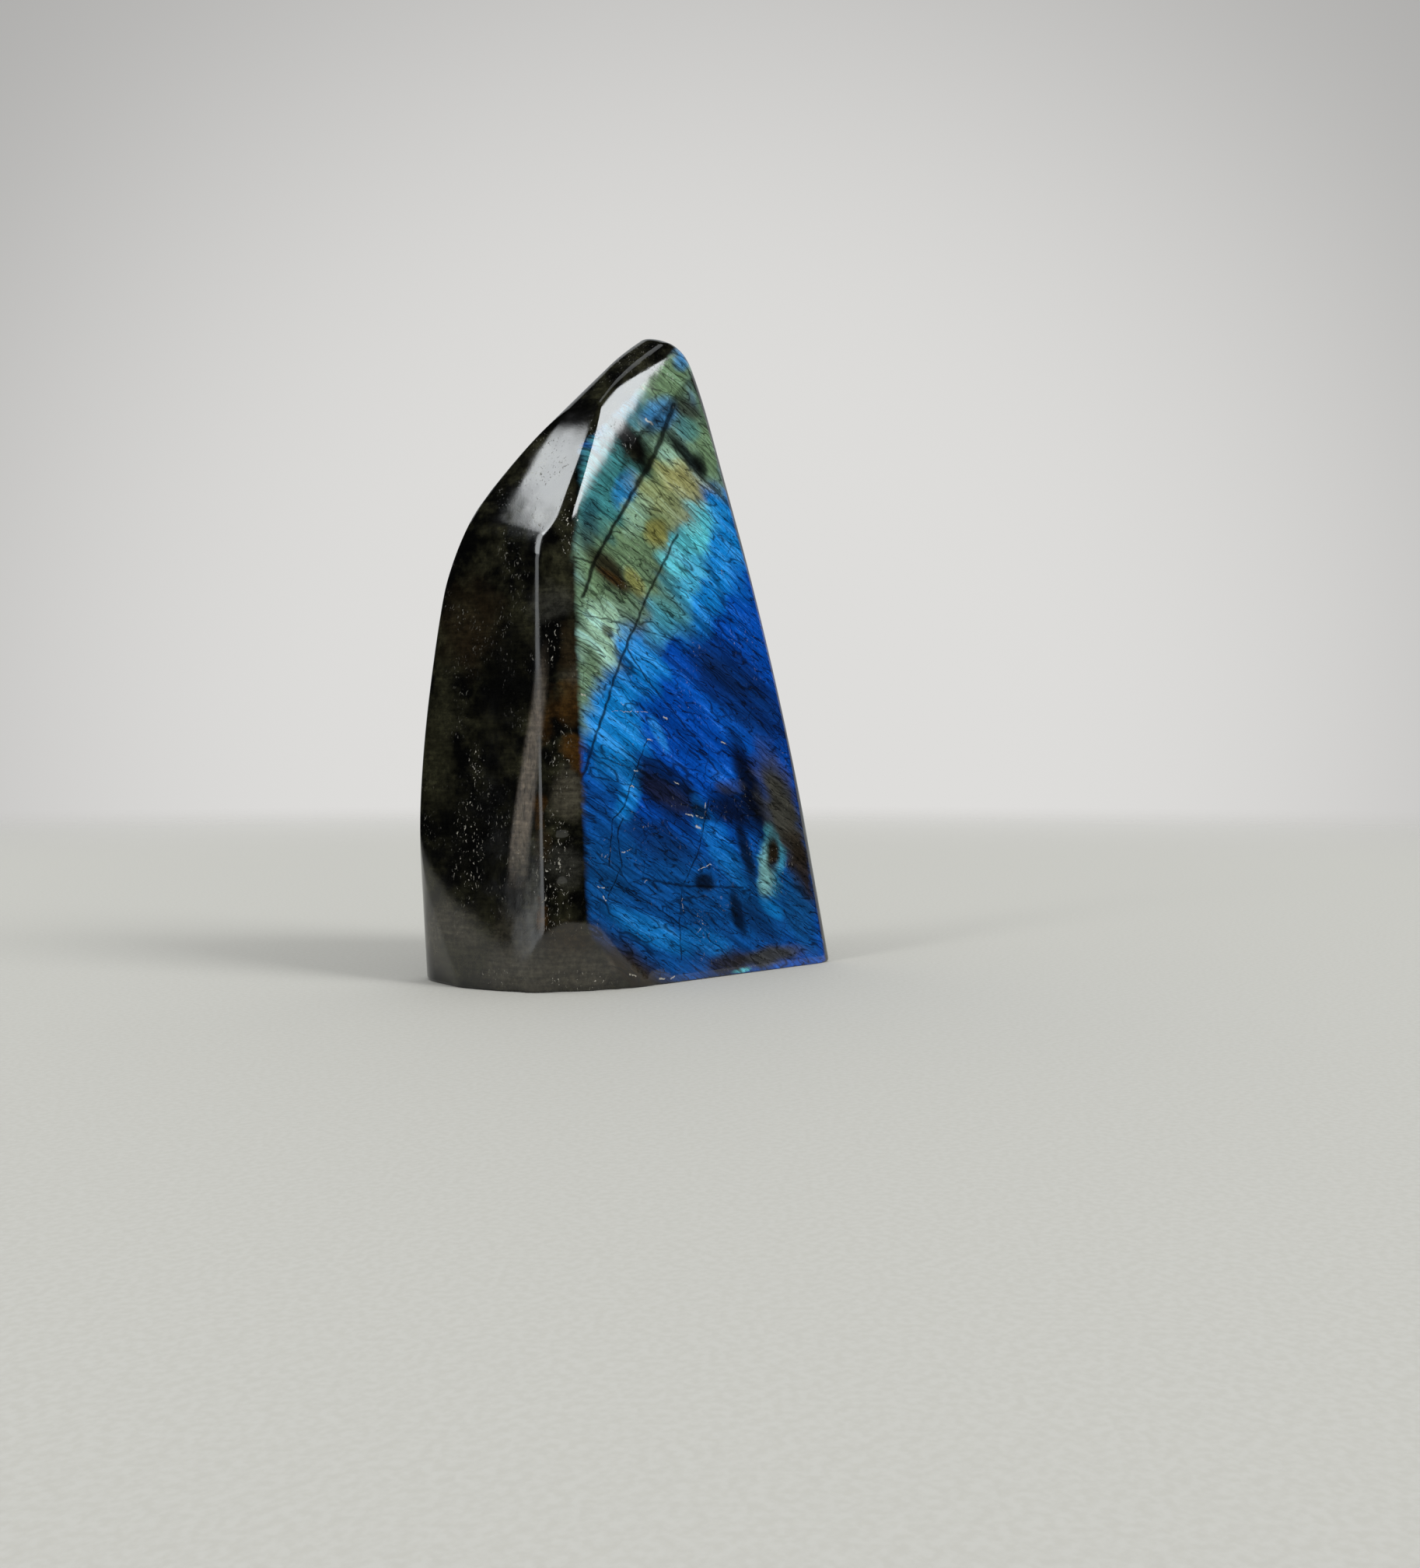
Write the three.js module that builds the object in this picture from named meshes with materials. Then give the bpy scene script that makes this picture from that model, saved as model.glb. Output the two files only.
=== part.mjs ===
// A polished labradorite freeform: one stone, ground to a tapering upright block with soft joints.
// Millimetres, +Z up. The origin is on the surface the stone stands on, under its middle.
// The broad flat face that shows the blue flash looks to -Y, and the rounded dark end looks to -X.

import * as THREE from "three";
import { mergeVertices } from "three/addons/utils/BufferGeometryUtils.js";

// The heart is the point inside the stone that every facet is measured from.
const HEART = new THREE.Vector3(-1.1, 0.9, 34);

// The facets that the stone was ground with. Heading is the way a facet looks in plan, in degrees,
// where 0 is +X, 90 is the back and 270 is the flat face. Tilt is how far it looks up, in degrees.
// Distance is from the heart to the facet's plane, and wear is how deep the polishing rounded its
// edges, both in millimetres.
const FACETS = {
  face: { heading: 270, tilt: 5.5, distance: 13.2, wear: 2.3 },
  nose: { heading: 237.5, tilt: 5.5, distance: 20.7, wear: 1.0 },
  bevel: { heading: 203.5, tilt: 4, distance: 24.1, wear: 0.8 },
  end: { heading: 177, tilt: -7.5, distance: 32.8, wear: 5.0 },
  backEnd: { heading: 142, tilt: 5.5, distance: 29.4, wear: 1.9 },
  back: { heading: 90, tilt: 7, distance: 10.5, wear: 7.3 },
  rightLow: { heading: 358, tilt: 9, distance: 26.9, wear: 4.3 },
  rightHigh: { heading: 6, tilt: 16, distance: 25.8, wear: 3.6 },
  shoulder: { heading: 195, tilt: 38, distance: 47.6, wear: 23.3 },
  crest: { heading: 214, tilt: 42, distance: 46.2, wear: 16.6 },
  tip: { heading: 330, tilt: 60.5, distance: 60.4, wear: 3.0 },
  brow: { heading: 211, tilt: 25, distance: 32.0, wear: 0.8 },
  foot: { heading: 241, tilt: -17, distance: 29.7, wear: 1.9 },
  temple: { heading: 193, tilt: 15, distance: 34.0, wear: 4.5 },
  noseTop: { heading: 230, tilt: 20.5, distance: 31.8, wear: 2.5 },
  cap: { heading: 237.5, tilt: 48.5, distance: 50.3, wear: 4.5 },
};

// The base is cut flat, and its sharp edge was eased with a small bevel.
const BASE_BEVEL = 0.5;

// The mesh has columns that run from the base to the top, and rows round the stone.
const COLUMNS = 96;
const ROWS = 38;

// A turn of the surface gets more rows and columns: a radian counts as much as this length of flat.
const TURN_AS_LENGTH = 12;

const OUTLINE_SAMPLES = 720;
const COLUMN_SAMPLES = 300;
const FAR_OUTSIDE = 200;
const REACH_ERROR = 1e-6;

const UP = new THREE.Vector3(0, 0, 1);
const FIRST_HEADING = -Math.PI / 2;

const planes = Object.values(FACETS).map(({ heading, tilt, distance, wear }) => {
  const normal = lookingTo(THREE.MathUtils.degToRad(heading), THREE.MathUtils.degToRad(tilt));
  return { normal, distance, wear };
});

// The unit direction with a heading in plan and a tilt above the level, both in radians.
function lookingTo(heading, tilt) {
  const level = new THREE.Vector3(Math.cos(heading), Math.sin(heading), 0);
  return level.multiplyScalar(Math.cos(tilt)).addScaledVector(UP, Math.sin(tilt));
}

// Each facet that a point has come within its wear of adds the square of how far in it has come.
// The sum is 1 on the polished surface, so flats stay flat and their joints turn smoothly.
function isInside(point) {
  const offset = point.clone().sub(HEART);
  let sum = 0;
  for (const { normal, distance, wear } of planes) {
    const past = 1 + (normal.dot(offset) - distance) / wear;
    sum += Math.max(past, 0) ** 2;
  }
  return sum < 1;
}

// The point where a straight line leaves the stone, from a start inside it.
function leaves(start, direction) {
  let near = 0;
  let far = FAR_OUTSIDE;
  while (far - near > REACH_ERROR) {
    const middle = (near + far) / 2;
    if (isInside(start.clone().addScaledVector(direction, middle))) {
      near = middle;
    } else {
      far = middle;
    }
  }
  return start.clone().addScaledVector(direction, near);
}

// The point of the stone's side at one height and heading.
function side(heading, height) {
  const start = new THREE.Vector3(HEART.x, HEART.y, height);
  return leaves(start, lookingTo(heading, 0));
}

// Points along a finely sampled line, one more than the count, closer together where the line turns.
function spread(samples, count) {
  const steps = samples.slice(1).map((point, k) => point.clone().sub(samples[k]));
  const travelled = [0];
  for (const [k, step] of steps.entries()) {
    const turn = k > 0 ? step.angleTo(steps[k - 1]) : 0;
    travelled.push(travelled[k] + step.length() + TURN_AS_LENGTH * turn);
  }
  const points = [];
  let k = 0;
  for (let place = 0; place <= count; place++) {
    const target = (travelled[steps.length] * place) / count;
    while (k < steps.length - 1 && travelled[k + 1] < target) k++;
    const share = (target - travelled[k]) / (travelled[k + 1] - travelled[k]);
    points.push(samples[k].clone().addScaledVector(steps[k], share));
  }
  return points;
}

// The headings of the columns, spread round the outline at the heart's height.
function columnHeadings() {
  const outline = [];
  for (let k = 0; k <= OUTLINE_SAMPLES; k++) {
    outline.push(side(FIRST_HEADING + (2 * Math.PI * k) / OUTLINE_SAMPLES, HEART.z));
  }
  return spread(outline, COLUMNS).map((point) => Math.atan2(point.y - HEART.y, point.x - HEART.x));
}

// The points of one column, spread from the top of the base's bevel to the top of the stone.
function columnPoints(heading) {
  const foot = side(heading, BASE_BEVEL).sub(HEART);
  const lowest = Math.atan2(foot.z, Math.hypot(foot.x, foot.y));
  const samples = [];
  for (let k = 0; k <= COLUMN_SAMPLES; k++) {
    const tilt = THREE.MathUtils.lerp(lowest, Math.PI / 2, k / COLUMN_SAMPLES);
    samples.push(leaves(HEART, lookingTo(heading, tilt)));
  }
  return spread(samples, ROWS);
}

// A turned blank with the mesh's columns and rows, from the middle of the base up to the top.
function turnedBlank() {
  const profile = [new THREE.Vector2(0, 0)];
  for (let row = 0; row <= ROWS + 1; row++) {
    const around = (Math.PI / 2) * (row / (ROWS + 1));
    profile.push(new THREE.Vector2(Math.cos(around), Math.sin(around)));
  }
  profile[profile.length - 1].x = 0;
  return new THREE.LatheGeometry(profile, COLUMNS);
}

// The blank's points are moved to the ground and polished surface, column by column.
function groundStone() {
  const geometry = turnedBlank();
  const position = geometry.getAttribute("position");
  let index = 0;
  for (const heading of columnHeadings()) {
    const rim = side(heading, 0).addScaledVector(lookingTo(heading, 0), -BASE_BEVEL);
    const middleOfBase = new THREE.Vector3(HEART.x, HEART.y, 0);
    for (const point of [middleOfBase, rim, ...columnPoints(heading)]) {
      position.setXYZ(index, point.x, point.y, point.z);
      index++;
    }
  }
  geometry.deleteAttribute("normal");
  geometry.deleteAttribute("uv");
  const solid = mergeVertices(geometry);
  solid.computeVertexNormals();
  return solid;
}

const polishedStone = new THREE.MeshStandardMaterial({
  color: 0x26333d,
  roughness: 0.1,
  metalness: 0,
});

const labradorite = new THREE.Mesh(groundStone(), polishedStone);
labradorite.name = "labradorite";

const freeform = new THREE.Group();
freeform.add(labradorite);

export default freeform;
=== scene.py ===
import math

import bmesh
import bpy
import numpy as np
from bpy.props import FloatProperty, FloatVectorProperty, IntProperty, PointerProperty
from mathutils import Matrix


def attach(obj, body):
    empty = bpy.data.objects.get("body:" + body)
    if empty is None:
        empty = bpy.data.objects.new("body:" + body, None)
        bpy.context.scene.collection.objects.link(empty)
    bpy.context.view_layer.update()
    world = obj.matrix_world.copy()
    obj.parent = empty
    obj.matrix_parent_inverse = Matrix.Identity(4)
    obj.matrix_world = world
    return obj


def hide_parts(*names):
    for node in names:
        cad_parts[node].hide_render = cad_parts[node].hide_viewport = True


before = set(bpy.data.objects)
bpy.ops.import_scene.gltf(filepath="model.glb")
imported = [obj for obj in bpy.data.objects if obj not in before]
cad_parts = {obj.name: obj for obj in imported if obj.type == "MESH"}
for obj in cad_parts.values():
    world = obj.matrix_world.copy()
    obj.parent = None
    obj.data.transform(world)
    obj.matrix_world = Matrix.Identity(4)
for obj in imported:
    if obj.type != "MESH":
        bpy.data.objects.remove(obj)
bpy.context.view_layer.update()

bl_info = {
    "name": "Polished labradorite",
    "version": (1, 0, 0),
    "blender": (4, 5, 0),
    "location": "3D View > Sidebar > Labradorite",
    "description": "A polished labradorite freeform that flashes blue, standing in a plain studio",
    "category": "Add Mesh",
}

MM = 0.001

# The fine surface is drawn in by a hair, so that it stays inside the box of the coarser one.
WITHIN_CAD = 0.9995

# The heart is the point inside the stone that every facet is measured from, in millimetres.
HEART = np.array([-1.1, 0.9, 34.0])

# The facets that the stone was ground with: heading in plan (0 is +X, 90 the back) and tilt above
# the level in degrees, distance from the heart and depth of the rounding at its edges in millimetres.
FACETS = {
    "face": (270, 5.5, 13.2, 2.3),
    "nose": (237.5, 5.5, 20.7, 1.0),
    "bevel": (203.5, 4, 24.1, 0.8),
    "end": (177, -7.5, 32.8, 5.0),
    "back_end": (142, 5.5, 29.4, 1.9),
    "back": (90, 7, 10.5, 7.3),
    "right_low": (358, 9, 26.9, 4.3),
    "right_high": (6, 16, 25.8, 3.6),
    "shoulder": (195, 38, 47.6, 23.3),
    "crest": (214, 42, 46.2, 16.6),
    "tip": (330, 60.5, 60.4, 3.0),
    "brow": (211, 25, 32.0, 0.8),
    "foot": (241, -17, 29.7, 1.9),
    "temple": (193, 15, 34.0, 4.5),
    "nose_top": (230, 20.5, 31.8, 2.5),
    "cap": (237.5, 48.5, 50.3, 4.5),
}

# A line is followed this far out of the stone, in millimetres, and halved to find where it leaves.
FAR_OUTSIDE = 200.0
HALVINGS = 28

# The outline and each column are sampled this finely before their points are spread.
OUTLINE_SAMPLES = 1440
COLUMN_SAMPLES = 399

# The eased edge round the base is a quarter circle, drawn at these angles below its centre.
BASE_ROUND_ANGLES = np.radians([90, 60, 30])

# Points of the mesh closer than this are one point, in millimetres.
SAME_POINT = 0.001

# Marks on the flat face are placed right of its left edge and above the base, in millimetres.
FACE_LEFT = -17.1

# The lamellae of the feldspar fall to the right across the face, in degrees from the level.
LAMELLA_LEAN = -33

# Chips: heading from the heart in degrees, and height, half width and depth in millimetres.
CHIPS = {
    "base, left": (197, 0.3, 1.5, 0.45),
    "base, by the bevel": (211, 0.2, 1.1, 0.35),
    "base, under the nose": (226, 0.2, 1.7, 0.5),
    "base, under the nose corner": (233, 0.4, 0.9, 0.35),
    "base, face left": (249, 0.2, 1.0, 0.3),
    "base, right corner": (336, 0.3, 1.3, 0.4),
    "ridge, low": (211.5, 21.5, 1.0, 0.3),
    "ridge, lower": (212, 15, 0.8, 0.25),
    "nose, middle": (238, 50, 1.1, 0.3),
}


def tint(red, green, blue):
    """A colour as the eye reads it, 0 to 255, as the amounts of light that a shader needs."""
    levels = (red / 255, green / 255, blue / 255)
    return tuple(v / 12.92 if v <= 0.04045 else ((v + 0.055) / 1.055) ** 2.4 for v in levels)


def colour(name, description, default):
    return FloatVectorProperty(
        name=name, description=description, default=default, subtype="COLOR", min=0, max=1
    )


class StoneShape(bpy.types.PropertyGroup):
    """How the stone's mesh is drawn"""

    base_round: FloatProperty(
        name="Base rounding", description="Radius of the eased edge round the base",
        default=0.5 * MM, unit="LENGTH",
    )
    columns: IntProperty(
        name="Columns", description="Faces round the stone, from the base to the top", default=300
    )
    rows: IntProperty(
        name="Rows", description="Faces up the side of the stone, from base to top", default=190
    )
    turn_as_length: FloatProperty(
        name="Turn as length",
        description="Length of flat side that gets as many faces as a turn of one radian",
        default=12 * MM, unit="LENGTH",
    )


class StoneColours(bpy.types.PropertyGroup):
    """The colours of the flash and of the dark body"""

    royal: colour("Royal", "Deep blue of the main flash", tint(2, 66, 158))
    lapis: colour("Lapis", "Lighter streaks in the deep blue", tint(6, 84, 184))
    steel: colour("Steel", "Dull blue of the lower flash", tint(14, 68, 118))
    indigo: colour("Indigo", "Darkest blue of the flash", tint(10, 28, 62))
    azure: colour("Azure", "Brightest blue of the flash", tint(18, 128, 206))
    gleam: colour("Gleam", "Palest streaks of the flash", tint(110, 184, 236))
    cyan: colour("Cyan", "Light band between blue and green", tint(92, 198, 210))
    teal: colour("Teal", "Blue green of the upper left flash", tint(56, 118, 120))
    moss: colour("Moss", "Grey green of the upper flash", tint(106, 132, 98))
    pale_green: colour("Pale green", "Lightest green of the flash", tint(158, 194, 166))
    gold: colour("Gold", "Yellow of the flash", tint(160, 156, 96))
    olive: colour("Olive", "Dull yellow of the flash", tint(126, 124, 66))
    slate: colour("Slate", "Grey where the flash is dull", tint(58, 57, 51))
    black: colour("Black", "Stone with no flash", tint(5, 5, 4))
    umber: colour("Umber", "Dark brown of the clear parts", tint(38, 30, 18))
    amber: colour("Amber", "Golden brown of the clear parts", tint(70, 46, 16))
    smoke: colour("Smoke", "Grey brown of the cloudy parts", tint(64, 60, 50))
    mud: colour("Mud", "Dark olive clouds in the black body", tint(42, 41, 28))
    # Painted light: the buff colour is the painted sheen along the ridge left of the nose and a patch
    # of painted glints.
    painted_sheen_buff: colour("Buff", "Painted sheen on the ridge and painted glints", tint(128, 114, 98))
    # Partly painted light: this pale colour serves real flecks and scuffs, and painted glints at the
    # pits.
    fleck_and_glint: colour("Fleck", "Pale flecks, scuffs and painted glints", tint(196, 190, 176))


class Studio(bpy.types.PropertyGroup):
    """The floor, the backdrop and the lights"""

    floor_radius: FloatProperty(
        name="Floor radius", description="Where the floor has faded into the backdrop",
        default=0.9, unit="LENGTH",
    )
    floor_colour: colour("Floor", "Colour of the floor", tint(182, 178, 170))
    backdrop_colour: colour("Backdrop", "Colour of the backdrop", tint(222, 221, 219))
    backdrop_edge: FloatProperty(
        name="Backdrop edge",
        description="Brightness of the backdrop away from the glow behind the stone",
        default=0.58, min=0,
    )
    light: FloatProperty(
        name="Light", description="Brightness of the soft lights", default=9.5, min=0
    )
    fill: FloatProperty(
        name="Fill", description="Light from all round on matt colours", default=0.8, min=0
    )


def looking_to(heading, tilt):
    """Unit directions with headings in plan and tilts above the level, both in radians."""
    heading, tilt = np.broadcast_arrays(heading, tilt)
    level = np.cos(tilt)
    return np.stack([level * np.cos(heading), level * np.sin(heading), np.sin(tilt)], axis=-1)


def facet_normal(name):
    heading, tilt, _, _ = FACETS[name]
    return looking_to(math.radians(heading), math.radians(tilt))


NORMALS = np.array([facet_normal(name) for name in FACETS])
DISTANCES = np.array([facet[2] for facet in FACETS.values()])
WEARS = np.array([facet[3] for facet in FACETS.values()])


def is_inside(points):
    """True where the squared shares of the facets' wears that a point has come into sum to under 1."""
    past = 1 + ((points - HEART) @ NORMALS.T - DISTANCES) / WEARS
    return (np.maximum(past, 0) ** 2).sum(axis=-1) < 1


def leaves(starts, directions):
    """The points where straight lines leave the stone, from starts inside it."""
    near = np.zeros(directions.shape[:-1])
    far = near + FAR_OUTSIDE
    for _ in range(HALVINGS):
        middle = (near + far) / 2
        inside = is_inside(starts + directions * middle[..., None])
        near, far = np.where(inside, middle, near), np.where(inside, far, middle)
    return starts + directions * near[..., None]


def side(headings, height):
    """The points of the stone's side at one height."""
    start = np.array([HEART[0], HEART[1], height])
    return leaves(start, looking_to(headings, 0.0))


def spread(samples, count, turn_as_length):
    """Points along a finely sampled line, one more than the count, and closer where it turns."""
    steps = np.diff(samples, axis=0)
    lengths = np.linalg.norm(steps, axis=1)
    ahead = steps / lengths[:, None]
    cosines = np.clip((ahead[1:] * ahead[:-1]).sum(axis=1), -1, 1)
    turns = np.concatenate([[0], np.arccos(cosines)])
    travelled = np.concatenate([[0], np.cumsum(lengths + turn_as_length * turns)])
    targets = np.linspace(0, travelled[-1], count + 1)
    return np.stack([np.interp(targets, travelled, samples[:, k]) for k in range(3)], axis=1)


def ground_grid(shape):
    """The points of the stone's surface in millimetres, by column and row, from base to top."""
    turn = shape.turn_as_length / MM
    radius = shape.base_round / MM
    headings = np.linspace(-math.pi / 2, 1.5 * math.pi, OUTLINE_SAMPLES + 1)
    outline = spread(side(headings, HEART[2]), shape.columns, turn)
    headings = np.arctan2(outline[:, 1] - HEART[1], outline[:, 0] - HEART[0])
    middle = np.broadcast_to([HEART[0], HEART[1], 0.0], (len(headings), 3))
    rim = []
    for angle in BASE_ROUND_ANGLES:
        height = radius * (1 - math.sin(angle))
        inward = radius * (1 - math.cos(angle))
        rim.append(side(headings, height) - inward * looking_to(headings, 0.0))
    foot = side(headings, radius) - HEART
    lowest = np.arctan2(foot[:, 2], np.hypot(foot[:, 0], foot[:, 1]))
    columns = []
    for heading, low in zip(headings, lowest):
        tilts = np.linspace(low, math.pi / 2, COLUMN_SAMPLES + 1)
        columns.append(spread(leaves(HEART, looking_to(heading, tilts)), shape.rows, turn))
    return np.concatenate([middle[:, None], np.stack(rim, axis=1), np.stack(columns)], axis=1)


def chipped(points):
    """The points with small chips knocked out of the edges."""
    for heading, height, across, depth in CHIPS.values():
        start = np.array([HEART[0], HEART[1], height])
        outward = looking_to(math.radians(heading), 0.0)
        away = np.linalg.norm(points - leaves(start, outward), axis=-1) / across
        bite = depth * np.maximum(1 - away**2, 0) ** 0.5
        points = points - bite[..., None] * outward
    return points


def make_stone_mesh(shape):
    points = chipped(ground_grid(shape))
    columns, rows = points.shape[0] - 1, points.shape[1] - 1
    bm = bmesh.new()
    bmesh.ops.create_grid(bm, x_segments=columns, y_segments=rows, size=1.0)
    for vert in bm.verts:
        column = round((vert.co.x + 1) / 2 * columns)
        row = round((vert.co.y + 1) / 2 * rows)
        vert.co = points[column, row] * MM * WITHIN_CAD
    bmesh.ops.remove_doubles(bm, verts=bm.verts, dist=SAME_POINT * MM)
    bmesh.ops.recalc_face_normals(bm, faces=bm.faces)
    for face in bm.faces:
        face.smooth = True
    mesh = bpy.data.meshes.new("labradorite_stone")
    bm.to_mesh(mesh)
    bm.free()
    return mesh


class Recipe:
    """Adds nodes to a tree, so that a finish reads as a chain of values."""

    def __init__(self, tree):
        tree.nodes.clear()
        self.tree = tree

    def add(self, kind, inputs, **settings):
        node = self.tree.nodes.new("ShaderNode" + kind)
        for name, value in settings.items():
            setattr(node, name, value)
        for name, value in inputs.items():
            socket = node.inputs[name]
            if isinstance(value, bpy.types.NodeSocket):
                self.tree.links.new(value, socket)
            elif socket.type == "RGBA":
                socket.default_value = (*value, 1.0)
            else:
                socket.default_value = value
        return node

    def number(self, operation, *values):
        return self.add("Math", dict(enumerate(values)), operation=operation).outputs[0]

    def vector(self, operation, *values):
        node = self.add("VectorMath", dict(enumerate(values)), operation=operation)
        is_number = operation in ("LENGTH", "DISTANCE", "DOT_PRODUCT")
        return node.outputs["Value" if is_number else "Vector"]

    def scaled(self, place, factor):
        return self.add("VectorMath", {0: place, "Scale": factor}, operation="SCALE").outputs[0]

    def fade(self, value, start, end, low=0.0, high=1.0):
        """Goes smoothly from low to high as the value goes from start to end."""
        inputs = {"Value": value, "From Min": start, "From Max": end, "To Min": low, "To Max": high}
        node = self.add("MapRange", inputs, interpolation_type="SMOOTHSTEP", clamp=False)
        return node.outputs["Result"]

    def blend(self, share, under, over, blend_type="MIX"):
        inputs = {0: share, 6: under, 7: over}
        return self.add("Mix", inputs, data_type="RGBA", blend_type=blend_type).outputs[2]

    def laid(self, place, lean=0.0, size=(1, 1, 1)):
        """The place with its first axis turned by the lean in degrees and each unit resized."""
        inputs = {"Vector": place, "Scale": size, "Rotation": (0, 0, math.radians(lean))}
        return self.add("Mapping", inputs, vector_type="TEXTURE").outputs[0]

    def combine(self, operation, amounts):
        """Takes amounts together one by one as they are made, which spares the renderer's memory."""
        amounts = iter(amounts)
        total = next(amounts)
        for amount in amounts:
            total = self.number(operation, total, amount)
        return total

    def oval(self, place, centre, lean, length, width):
        """The squared distance from a centre, 1 at an oval with these half lengths."""
        lean = math.radians(lean)
        total = 0.0
        for turn, reach in ((lean, length), (lean + math.pi / 2, width)):
            axis = (math.cos(turn) / reach, math.sin(turn) / reach, 0)
            start = axis[0] * centre[0] + axis[1] * centre[1]
            away = self.number("SUBTRACT", self.vector("DOT_PRODUCT", place, axis), start)
            total = self.number("MULTIPLY_ADD", away, away, total)
        return total

    def ball(self, place, centre, width, height):
        """The squared distance from a centre, 1 at an upright ball with these half sizes."""
        offset = self.vector("SUBTRACT", place, centre)
        offset = self.vector("MULTIPLY", offset, (1 / width, 1 / width, 1 / height))
        return self.vector("DOT_PRODUCT", offset, offset)

    def beside(self, place, start, end):
        """The distance from a straight line between two points."""
        start, end = (*start, 0.0)[:3], (*end, 0.0)[:3]
        run = np.subtract(end, start)
        offset = self.vector("SUBTRACT", place, start)
        share = self.vector("DOT_PRODUCT", offset, tuple(run / (run @ run)))
        share = self.number("MAXIMUM", self.number("MINIMUM", share, 1.0), 0.0)
        return self.vector("DISTANCE", offset, self.scaled(tuple(run), share))

    def beside_bends(self, place, corners):
        """The distance from a bent line through several points."""
        sides = (self.beside(place, start, end) for start, end in zip(corners, corners[1:]))
        return self.combine("MINIMUM", sides)

    def noise(self, place, size=1.0, detail=2.0, rough=0.5):
        inputs = {"Vector": place, "Scale": 1 / size, "Detail": detail, "Roughness": rough}
        return self.add("TexNoise", inputs).outputs[0]

    def from_seams(self, place, size):
        """The distance from the seams between scattered cells, as a share of their size."""
        inputs = {"Vector": place, "Scale": 1 / size}
        return self.add("TexVoronoi", inputs, feature="DISTANCE_TO_EDGE").outputs["Distance"]
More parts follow.
